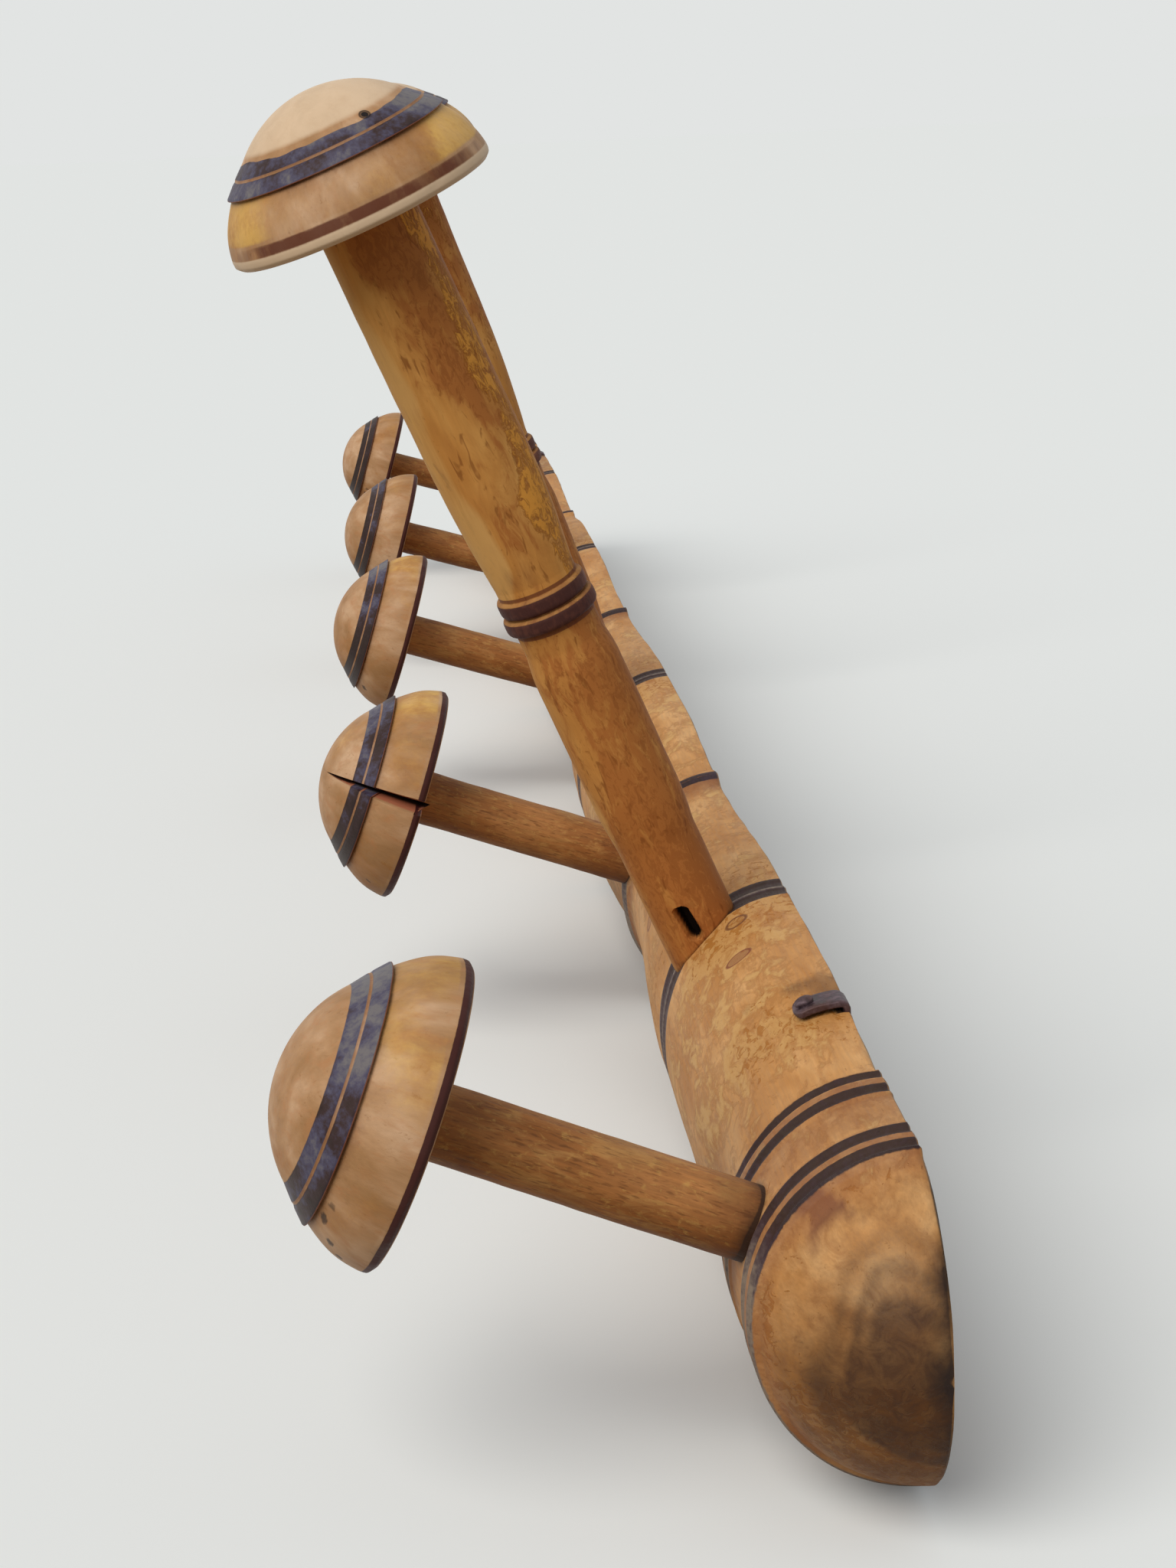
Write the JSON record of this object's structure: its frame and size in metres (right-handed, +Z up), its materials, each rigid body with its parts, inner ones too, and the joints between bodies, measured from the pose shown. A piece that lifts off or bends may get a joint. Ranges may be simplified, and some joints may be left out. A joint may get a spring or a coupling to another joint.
{
  "type": "wall coat rack",
  "caption": "Long wall coat rack turned to look like bamboo: half-round rail with domed ends, short coat pegs and tall hat arms that end in mushroom knobs.",
  "frame": {"origin": "middle of the rail's flat back, on the turning axis, in the plane of the wall", "axes": "+X along the rail, +Y out of the flat back into the wall, so that the front is -Y, +Z up"},
  "size_m": [1.002, 0.0995, 0.2206],
  "materials": {
    "rail_wood": "worn satin varnish over honey-tan beech, scorched dark rings",
    "peg_wood": "worn matt stain, brown, fine dark flecks",
    "arm_wood": "worn satin stain, brown with golden edges, dark double ring",
    "knob_wood": "worn satin varnish, pale tan with dark stained bands and rim",
    "iron": "dark forged iron with a dull purple-grey skin"
  },
  "bodies": {
    "root": {"rail": "rail_wood", "short_peg_1": "peg_wood", "short_peg_2": "peg_wood", "short_peg_3": "peg_wood", "short_peg_4": "peg_wood", "short_peg_5": "peg_wood", "short_knob_1": "knob_wood", "short_knob_2": "knob_wood", "short_knob_3": "knob_wood", "short_knob_4": "knob_wood", "short_knob_5": "knob_wood", "hat_arm_1": "arm_wood", "hat_arm_2": "arm_wood", "hat_arm_3": "arm_wood", "hat_arm_4": "arm_wood", "hat_knob_1": "knob_wood", "hat_knob_2": "knob_wood", "hat_knob_3": "knob_wood", "hat_knob_4": "knob_wood", "arm_nail_1": "iron", "arm_nail_2": "iron", "arm_nail_3": "iron", "arm_nail_4": "iron", "hanger_strap_right": "iron", "strap_nail_top_right": "iron", "strap_nail_back_right": "iron", "hanger_strap_left": "iron", "strap_nail_top_left": "iron", "strap_nail_back_left": "iron"}
  },
  "joints": []
}
